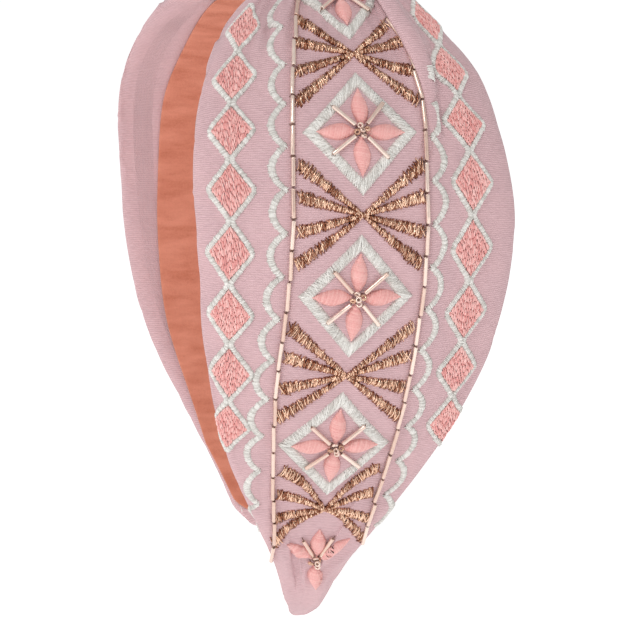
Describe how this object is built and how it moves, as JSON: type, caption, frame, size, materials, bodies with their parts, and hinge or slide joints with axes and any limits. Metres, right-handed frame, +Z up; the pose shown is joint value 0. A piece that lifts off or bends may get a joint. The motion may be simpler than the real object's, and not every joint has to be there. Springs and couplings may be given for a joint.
{
  "type": "padded top-knot headband",
  "caption": "Padded cloth headband with a top knot, suede lining and an embroidered, beaded diamond pattern; its sprung arms open to go over a head from ear to ear.",
  "frame": {"origin": "middle of the lining's inner face at the crown, where the band rests on the head", "axes": "+Z up, away from the head; +X to the wearer's left ear side, X runs from ear to ear; the wearer faces -Y, so +Y runs to the back of the head"},
  "size_m": [0.1324, 0.0803, 0.1888],
  "materials": {
    "pink_cloth": "matte, fine cross rib",
    "suede": "brushed suede nap",
    "foam": "open-cell, matte",
    "core_plastic": "smooth",
    "cream_thread": "satin stitch",
    "coral_thread": "satin stitch, silky",
    "copper_thread": "metallic thread, glittering",
    "champagne_bead": "silver-lined glass bugle beads"
  },
  "bodies": {
    "crown": {"core_crown": "core_plastic", "crown_gather": "pink_cloth", "knot_loop": "pink_cloth", "lining_crown": "suede"},
    "left_arm": {"left_core": "core_plastic", "left_foam": "foam", "left_cover": "pink_cloth", "left_lining": "suede", "left_diamond_chain_front": "coral_thread", "left_scallop_line_front": "cream_thread", "left_bead_line_front": "champagne_bead", "left_diamond_chain_back": "coral_thread", "left_scallop_line_back": "cream_thread", "left_bead_line_back": "champagne_bead", "left_diamond_frame_1": "cream_thread", "left_copper_fan_1": "copper_thread", "left_diamond_frame_2": "cream_thread", "left_copper_fan_2": "copper_thread", "left_diamond_frame_3": "cream_thread", "left_copper_fan_3": "copper_thread", "left_diamond_frame_4": "cream_thread", "left_copper_fan_4": "copper_thread", "left_flower_1": "coral_thread", "left_bead_cross_1": "champagne_bead", "left_flower_2": "coral_thread", "left_bead_cross_2": "champagne_bead", "left_flower_3": "coral_thread", "left_bead_cross_3": "champagne_bead", "left_flower_4": "coral_thread", "left_bead_cross_4": "champagne_bead", "left_flower_5": "coral_thread", "left_bead_cross_5": "champagne_bead"},
    "right_arm": {"right_core": "core_plastic", "right_foam": "foam", "right_cover": "pink_cloth", "right_lining": "suede", "right_diamond_chain_front": "coral_thread", "right_scallop_line_front": "cream_thread", "right_bead_line_front": "champagne_bead", "right_diamond_chain_back": "coral_thread", "right_scallop_line_back": "cream_thread", "right_bead_line_back": "champagne_bead", "right_diamond_frame_1": "cream_thread", "right_copper_fan_1": "copper_thread", "right_diamond_frame_2": "cream_thread", "right_copper_fan_2": "copper_thread", "right_diamond_frame_3": "cream_thread", "right_copper_fan_3": "copper_thread", "right_diamond_frame_4": "cream_thread", "right_copper_fan_4": "copper_thread", "right_flower_1": "coral_thread", "right_bead_cross_1": "champagne_bead", "right_flower_2": "coral_thread", "right_bead_cross_2": "champagne_bead", "right_flower_3": "coral_thread", "right_bead_cross_3": "champagne_bead", "right_flower_4": "coral_thread", "right_bead_cross_4": "champagne_bead", "right_flower_5": "coral_thread", "right_bead_cross_5": "champagne_bead"}
  },
  "joints": [
    {"name": "left_arm_flex", "type": "hinge", "parent": "crown", "child": "left_arm", "pos_m": [0.01911, 0, 0.00044], "axis": [0, -1, 0], "range_deg": [-5, 20], "stiffness_Nm_per_rad": 0.9},
    {"name": "right_arm_flex", "type": "hinge", "parent": "crown", "child": "right_arm", "pos_m": [-0.01911, 0, 0.00044], "axis": [0, 1, 0], "range_deg": [-5, 20], "stiffness_Nm_per_rad": 0.9}
  ]
}
